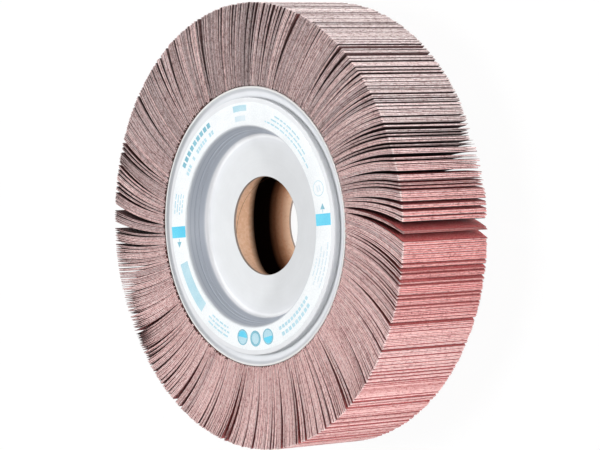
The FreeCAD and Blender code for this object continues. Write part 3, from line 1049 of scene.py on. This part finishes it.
# rows of dashes: radius, width, start, end and ink
for row in (
    (52.3, 0.7, 45.0, 67.0, 2), (50.3, 0.7, 37.0, 69.0, 2), (48.3, 0.7, 30.0, 73.0, 2),
    (53.2, 0.6, 162.0, 172.0, 2), (51.5, 0.6, 162.0, 172.0, 2), (49.8, 0.6, 161.0, 172.0, 2),
    (48.1, 0.6, 161.0, 171.0, 2), (52.6, 0.8, 232.5, 249.0, 2), (50.6, 0.8, 231.5, 249.5, 2),
    (48.6, 0.8, 233.5, 248.0, 2), (53.4, 0.6, 328.0, 352.0, 3), (51.4, 0.6, 330.0, 347.0, 3),
    (49.4, 0.6, 327.0, 348.0, 3), (47.4, 0.6, 331.0, 341.0, 3),
):
    dashRow(*row)
# each ink is printed a little unevenly, and the paper's grain shows through it
inkTones = (
    ("brightInk", (66, 200, 236), (78, 208, 240), (96, 214, 243)),
    ("dullInk", (104, 172, 192), (118, 184, 203), (136, 196, 213)),
    ("paleInk", (166, 210, 225), (178, 217, 230), (192, 225, 236)),
    ("faintInk", (206, 225, 234), (214, 229, 237), (223, 235, 241)),
)
inks = [
    grainedFinish(name, 0.5, 1800.0, 0.8, list(zip((0.1, 0.5, 0.9), tones)), (0.42, 0.55), (0.1, 0.04))
    for name, *tones in inkTones
]
labelPrint = finishMesh("labelPrint", plateVertices, plateFaces, inks, plateInks)
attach(labelPrint, "root")
print(f"label print: {len(labelPrint.data.polygons)} faces")


# Floor, world, lamps and camera

stage = {
    "floorHalf": 4000.0,
    "floorLevel": -0.05,
    "cameraWhite": 0.9,  # share of plain white in what the camera sees of the floor
    "whiteStrength": 1.06,
    "worldStrength": 0.16,
}


def makeFloorPaint():
    material, tree, shader = newMaterial("floorPaint", 0.8, 0.2)
    grain = grainAt(tree, objectVector(tree), 60.0, 0.4)
    colour = rampNode(tree, grain["Grain"], [(0.0, (186, 186, 187)), (1.0, (198, 198, 199))])
    link(tree, colour, shader.inputs["Base Color"])
    white = addNode(
        tree, "ShaderNodeEmission", {"Color": (255, 255, 255), "Strength": stage["whiteStrength"]})
    seen = addNode(tree, "ShaderNodeLightPath").outputs
    bent = mathNode(tree, "MAXIMUM", seen["Is Glossy Ray"], seen["Is Transmission Ray"])
    direct = mathNode(tree, "MAXIMUM", seen["Is Camera Ray"], bent)
    mixed = addNode(tree, "ShaderNodeMixShader")
    link(tree, mathNode(tree, "MULTIPLY", direct, stage["cameraWhite"]), mixed.inputs[0])
    link(tree, shader.outputs[0], mixed.inputs[1])
    link(tree, white.outputs[0], mixed.inputs[2])
    link(tree, mixed.outputs[0], tree.nodes["Material Output"].inputs["Surface"])
    return material


reach, level = stage["floorHalf"] * mm, stage["floorLevel"] * mm
floorCorners = [(x * reach, y * reach, level) for x, y in ((-1, -1), (1, -1), (1, 1), (-1, 1))]
floor = finishMesh("floor", floorCorners, [(0, 1, 2, 3)], [makeFloorPaint()])

world = bpy.data.worlds.new("studio")
bpy.context.scene.world = world
world.use_nodes = True
background = world.node_tree.nodes["Background"]
background.inputs["Color"].default_value = (1.0, 1.0, 1.0, 1.0)
background.inputs["Strength"].default_value = stage["worldStrength"]

# each lamp: place, aimed-at point, width, height and power
lamps = {
    "keyLamp": ((60, 700, 1370), (0, 0, 40), 420, 420, 19.2),
    "skimLamp": ((0, -1200, 18), (0, 0, 25), 900, 60, 5.5),
    "upperLamp": ((1215, 40, 18), (0, 0, 25), 500, 60, 22.0),
    "lowerLamp": ((-900, -900, 18), (0, 0, 25), 500, 60, 6.2),
    "boreLamp": ((0, -1430, 425), (0, 0, 40), 200, 90, 9.6),
    "backLamp": ((0, 0, 3), (0, 0, 50), 30, 30, 0.009),
}
for name, (place, target, width, height, power) in lamps.items():
    light = bpy.data.lights.new(name, "AREA")
    light.shape = "RECTANGLE"
    light.size = width * mm
    light.size_y = height * mm
    light.energy = power
    lamp = addObject(name, light)
    lamp.location = Vector(place) * mm
    lamp.visible_camera = False
    lamp.rotation_mode = "QUATERNION"
    lamp.rotation_quaternion = (Vector(place) - Vector(target)).to_track_quat("Z", "Y")

cameraPlace = {
    "tilt": 49.29,  # from the wheel's axis down towards the right of the label face
    "roll": -2.8,
    "distance": 1584.0,
    "sideways": 21.5,
    "upwards": -0.48,
    "aimLevel": 51.3,
    "lens": 213.0,
    "sensorWidth": 36.0,
}
tilt, roll = math.radians(cameraPlace["tilt"]), math.radians(cameraPlace["roll"])
back = Vector((0, -math.sin(tilt), math.cos(tilt)))
across = Vector((0, -math.cos(tilt), -math.sin(tilt)))
upward = Vector((1, 0, 0))
right = across * math.cos(roll) + upward * math.sin(roll)
up = upward * math.cos(roll) - across * math.sin(roll)
aim = Vector((0, 0, cameraPlace["aimLevel"]))
aim += across * cameraPlace["sideways"] + upward * cameraPlace["upwards"]
lens = bpy.data.cameras.new("camera")
lens.lens = cameraPlace["lens"]
lens.sensor_width = cameraPlace["sensorWidth"]
camera = addObject("camera", lens)
turned = Matrix((right, up, back)).transposed().to_4x4()
camera.matrix_world = Matrix.Translation((aim + back * cameraPlace["distance"]) * mm) @ turned
bpy.context.scene.camera = camera
bpy.context.scene.view_settings.view_transform = "Standard"
print("stage, lamps and camera set")
